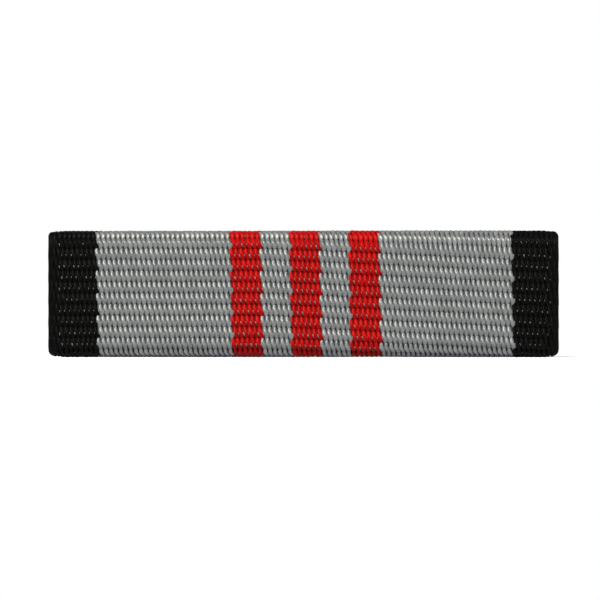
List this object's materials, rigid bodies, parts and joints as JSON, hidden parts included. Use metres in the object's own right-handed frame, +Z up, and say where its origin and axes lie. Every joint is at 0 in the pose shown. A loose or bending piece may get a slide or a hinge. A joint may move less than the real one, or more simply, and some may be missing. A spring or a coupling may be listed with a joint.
{
  "type": "service ribbon bar",
  "caption": "Woven striped service ribbon wrapped on a folded metal carrier that slides on a pinned mounting bar, held behind cloth by butterfly clutches.",
  "frame": {"origin": "middle of the plane where the back of the carrier's hems meets the cloth", "axes": "+X along the bar to the right of somebody facing it, +Z up as worn, +Y out of the back into the cloth, so the ribbon faces -Y"},
  "size_m": [0.035, 0.0103, 0.0088],
  "materials": {
    "ribbon_weave": "ribbed weave in grey, red and black stripes",
    "carrier_brass": "rolled sheet, lightly brushed",
    "bar_brass": "rolled sheet, satin",
    "post_metal": "turned, polished",
    "clutch_brass": "stamped and gilt, bright",
    "clip_spring": "spring strip, satin"
  },
  "bodies": {
    "mount_bar": {"mounting_plate": "bar_brass", "post_left": "post_metal", "post_right": "post_metal"},
    "ribbon_unit": {"ribbon_fabric": "ribbon_weave", "carrier_channel": "carrier_brass"},
    "clutch_left": {"clutch_base_left": "clutch_brass", "clip_foot_left": "clip_spring"},
    "clutch_right": {"clutch_base_right": "clutch_brass", "clip_foot_right": "clip_spring"},
    "wide_arm_left": {"wide_wing_arm_left": "clip_spring"},
    "narrow_arm_left": {"narrow_wing_arm_left": "clip_spring"},
    "wide_arm_right": {"wide_wing_arm_right": "clip_spring"},
    "narrow_arm_right": {"narrow_wing_arm_right": "clip_spring"}
  },
  "joints": [
    {"name": "ribbon_slide", "type": "slide", "parent": "mount_bar", "child": "ribbon_unit", "axis": [1, 0, 0], "range_m": [-0.036, 0.036]},
    {"name": "clutch_left_pull", "type": "slide", "parent": "mount_bar", "child": "clutch_left", "axis": [0, 1, 0], "range_m": [-0.0019, 0.008]},
    {"name": "clutch_right_pull", "type": "slide", "parent": "mount_bar", "child": "clutch_right", "axis": [0, 1, 0], "range_m": [-0.0019, 0.008]},
    {"name": "wide_wing_left", "type": "hinge", "parent": "clutch_left", "child": "wide_arm_left", "pos_m": [-0.01247, 0.00307, 0], "axis": [0, 0, 1], "range_deg": [0, 8], "stiffness_Nm_per_rad": 0.005},
    {"name": "narrow_wing_left", "type": "hinge", "parent": "clutch_left", "child": "narrow_arm_left", "pos_m": [-0.00658, 0.00307, 0], "axis": [0, 0, 1], "range_deg": [-8, 0], "stiffness_Nm_per_rad": 0.005},
    {"name": "wide_wing_right", "type": "hinge", "parent": "clutch_right", "child": "wide_arm_right", "pos_m": [0.01247, 0.00307, 0], "axis": [0, 0, 1], "range_deg": [-8, 0], "stiffness_Nm_per_rad": 0.005},
    {"name": "narrow_wing_right", "type": "hinge", "parent": "clutch_right", "child": "narrow_arm_right", "pos_m": [0.00658, 0.00307, 0], "axis": [0, 0, 1], "range_deg": [0, 8], "stiffness_Nm_per_rad": 0.005}
  ],
  "couplings": [
    {"joint": "narrow_wing_left", "follows": "wide_wing_left", "ratio": -1},
    {"joint": "narrow_wing_right", "follows": "wide_wing_right", "ratio": -1}
  ]
}
